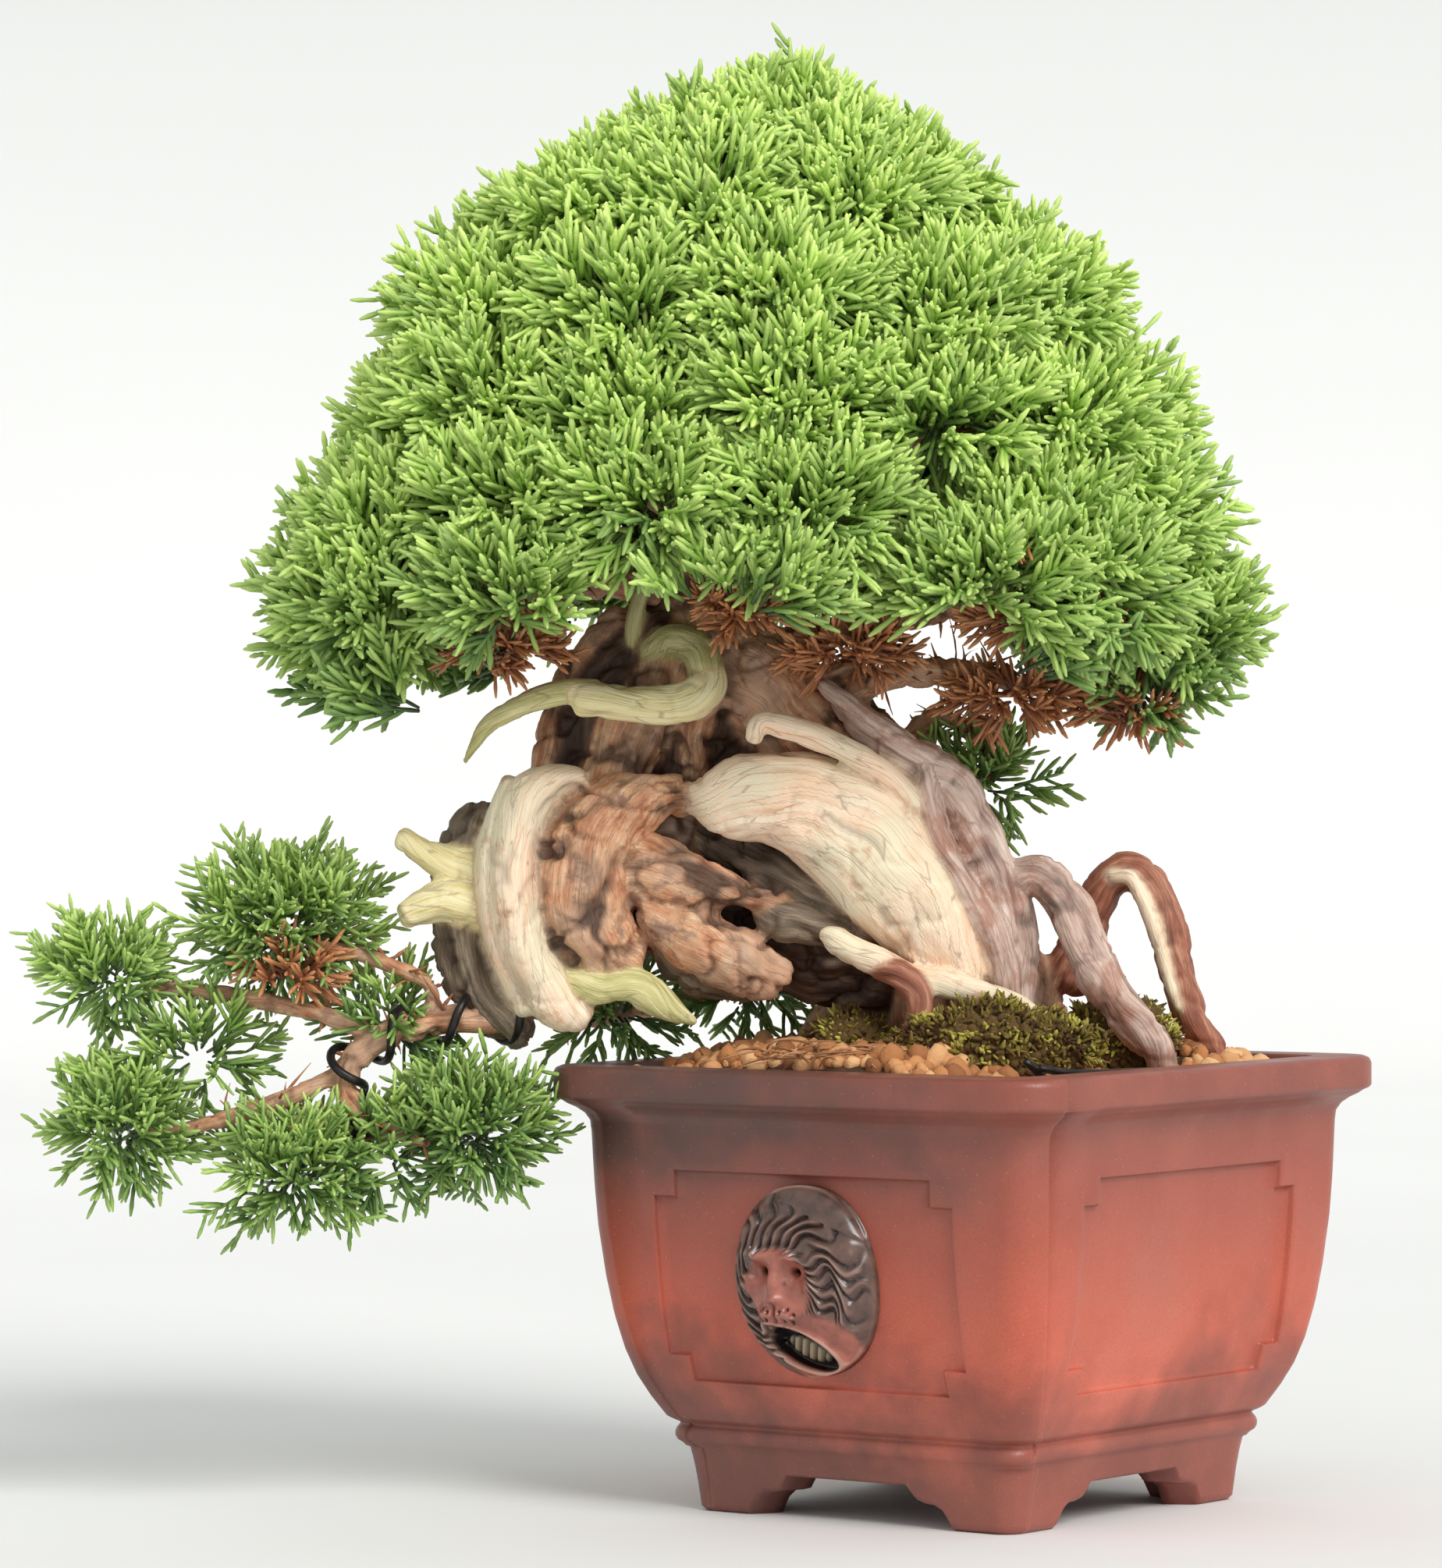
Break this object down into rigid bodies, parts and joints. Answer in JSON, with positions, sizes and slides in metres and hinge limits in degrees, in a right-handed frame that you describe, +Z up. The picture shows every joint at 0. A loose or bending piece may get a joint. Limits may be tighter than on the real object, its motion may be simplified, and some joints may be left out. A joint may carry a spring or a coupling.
{
  "type": "bonsai tree in a pot",
  "caption": "Juniper bonsai with twisted deadwood, layered foliage and a wired cascading branch, in a square footed stoneware pot with lion masks.",
  "frame": {"origin": "on the plane that the feet stand on, at the middle of the whole object's box seen from above; the pot's centre is at x 0.036, y 0.0254", "axes": "+Z up, -Y out of the pot's front wall with its lion mask, +X to the right along that wall; the tree's front is turned 38 degrees about Z from the pot's, towards +X"},
  "size_m": [0.1798, 0.1626, 0.2495],
  "materials": {
    "stoneware": "unglazed red stoneware, smooth, with darker flashing on the rim and the edges",
    "mask_clay": "dark burnished clay, semi-gloss",
    "soil_grains": "loose fired clay grains",
    "moss": "matte moss",
    "wood": "weathered deadwood and red-brown bark",
    "foliage": "fine scale foliage on green shoots",
    "black_wire": "black anodised wire",
    "mesh_plastic": "matte black plastic"
  },
  "bodies": {
    "root": {"drainage_mesh": "mesh_plastic", "foliage_apex": "foliage", "foliage_behind_trunk": "foliage", "foliage_cascade_far": "foliage", "foliage_cascade_low": "foliage", "foliage_cascade_near": "foliage", "foliage_cascade_tip": "foliage", "foliage_cascade_upper": "foliage", "foliage_hanging_sprig": "foliage", "foliage_low_back": "foliage", "foliage_low_front": "foliage", "foliage_low_left": "foliage", "foliage_low_right": "foliage", "foliage_middle_back_left": "foliage", "foliage_middle_back_right": "foliage", "foliage_middle_front_left": "foliage", "foliage_middle_front_right": "foliage", "foliage_middle_left": "foliage", "foliage_middle_right": "foliage", "foliage_upper_back": "foliage", "foliage_upper_front": "foliage", "foliage_upper_left": "foliage", "foliage_upper_right": "foliage", "lion_mask_back": "mask_clay", "lion_mask_front": "mask_clay", "mesh_clip": "black_wire", "moss_front": "moss", "moss_left": "moss", "moss_right": "moss", "pot": "stoneware", "soil": "soil_grains", "tie_wire": "black_wire", "training_wire": "black_wire", "tree": "wood"}
  },
  "joints": []
}
